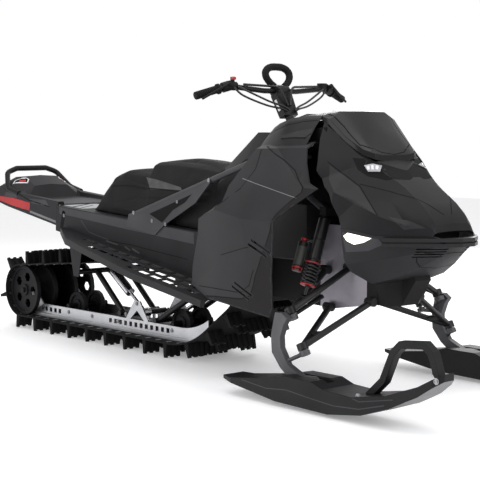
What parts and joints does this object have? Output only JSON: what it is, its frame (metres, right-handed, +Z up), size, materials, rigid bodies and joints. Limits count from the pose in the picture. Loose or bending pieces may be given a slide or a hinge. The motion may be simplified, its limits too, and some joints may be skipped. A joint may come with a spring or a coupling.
{
  "type": "snowmobile",
  "caption": "Deep-snow snowmobile: long lugged track under a slim tunnel, faceted body, two steered skis with loops, tall handlebar.",
  "frame": {"origin": "on the ground, below the middle of the whole machine", "axes": "+X to the nose, +Y to the left, +Z up"},
  "size_m": [3.23, 1.084, 1.2921],
  "materials": {
    "track_rubber": "moulded rubber",
    "bare_aluminium": "satin",
    "black_plastic": "moulded",
    "black_steel": "satin black",
    "silver_damper": "polished",
    "tunnel_paint": "satin dark grey",
    "board_paint": "satin dark grey",
    "cast_silver": "cast",
    "engine_block": "cast",
    "strut_grey": "satin",
    "shock_black": "satin",
    "body_graphite": "satin",
    "red_lens": "lens",
    "body_black": "satin",
    "clear_lens": "lens",
    "warm_lens": "lit lens",
    "gloss_black": "gloss",
    "gauge_black": "gloss",
    "seat_cover": "grained cover",
    "grip_rubber": "soft rubber",
    "cable_black": "cable sheath",
    "cast_grey": "cast, painted grey",
    "ski_plastic": "moulded",
    "runner_steel": "wear bar"
  },
  "bodies": {
    "root": {"track": "track_rubber", "slide_rails": "bare_aluminium", "rear_axle": "black_plastic", "idler_wheels": "black_plastic", "drive_axle": "black_plastic", "skid_arms": "black_steel", "skid_dampers": "silver_damper", "tunnel": "tunnel_paint", "running_board_left": "board_paint", "running_board_right": "board_paint", "bulkhead": "cast_silver", "engine": "engine_block", "frame_struts": "strut_grey", "upper_arms": "black_steel", "lower_arms": "black_steel", "ski_shocks": "shock_black", "front_bumper": "black_steel", "tail_cover": "body_graphite", "tail_lamps": "red_lens", "grab_hoop": "body_black", "cargo_anchors": "black_plastic", "hood": "body_black", "nose_pan": "body_graphite", "headlamps": "clear_lens", "lower_lamps": "warm_lens", "windshield": "gloss_black", "pod_shroud": "body_black", "console": "body_black", "gauge": "gauge_black", "seat": "seat_cover", "side_panel_left": "body_graphite", "side_panel_right": "body_graphite"},
    "handlebar_set": {"steering_post": "black_steel", "handlebar": "black_steel", "grips": "grip_rubber", "grab_strap": "grip_rubber", "brake_unit": "black_plastic", "throttle_unit": "black_plastic", "control_cables": "cable_black"},
    "spindle_left": {"spindle_left": "cast_grey"},
    "tie_rod_left": {"tie_rod_left": "black_steel"},
    "ski_left": {"ski_left": "ski_plastic", "ski_loop_left": "ski_plastic", "ski_runner_left": "runner_steel"},
    "spindle_right": {"spindle_right": "cast_grey"},
    "tie_rod_right": {"tie_rod_right": "black_steel"},
    "ski_right": {"ski_right": "ski_plastic", "ski_loop_right": "ski_plastic", "ski_runner_right": "runner_steel"}
  },
  "joints": [
    {"name": "steering", "type": "hinge", "parent": "root", "child": "handlebar_set", "pos_m": [0.44, 0, 0.925], "axis": [-0.4601, 0, 0.8879], "range_deg": [-36, 36]},
    {"name": "spindle_turn_left", "type": "hinge", "parent": "root", "child": "spindle_left", "pos_m": [0.885, 0.42, 0.21], "axis": [-0.4585, 0, 0.8887], "range_deg": [-27, 27]},
    {"name": "tie_rod_turn_left", "type": "hinge", "parent": "spindle_left", "child": "tie_rod_left", "pos_m": [0.748, 0.392, 0.286], "axis": [-0.4585, 0, 0.8887], "range_deg": [-27, 27]},
    {"name": "ski_pitch_left", "type": "hinge", "parent": "spindle_left", "child": "ski_left", "pos_m": [0.99, 0.46, 0.092], "axis": [0, 1, 0], "range_deg": [-14, 8]},
    {"name": "spindle_turn_right", "type": "hinge", "parent": "root", "child": "spindle_right", "pos_m": [0.885, -0.42, 0.21], "axis": [-0.4585, 0, 0.8887], "range_deg": [-27, 27]},
    {"name": "tie_rod_turn_right", "type": "hinge", "parent": "spindle_right", "child": "tie_rod_right", "pos_m": [0.748, -0.392, 0.286], "axis": [-0.4585, 0, 0.8887], "range_deg": [-27, 27]},
    {"name": "ski_pitch_right", "type": "hinge", "parent": "spindle_right", "child": "ski_right", "pos_m": [0.99, -0.46, 0.092], "axis": [0, 1, 0], "range_deg": [-14, 8]}
  ],
  "couplings": [
    {"joint": "spindle_turn_left", "follows": "steering", "ratio": 0.75},
    {"joint": "tie_rod_turn_left", "follows": "steering", "ratio": -0.75},
    {"joint": "spindle_turn_right", "follows": "steering", "ratio": 0.75},
    {"joint": "tie_rod_turn_right", "follows": "steering", "ratio": -0.75}
  ]
}
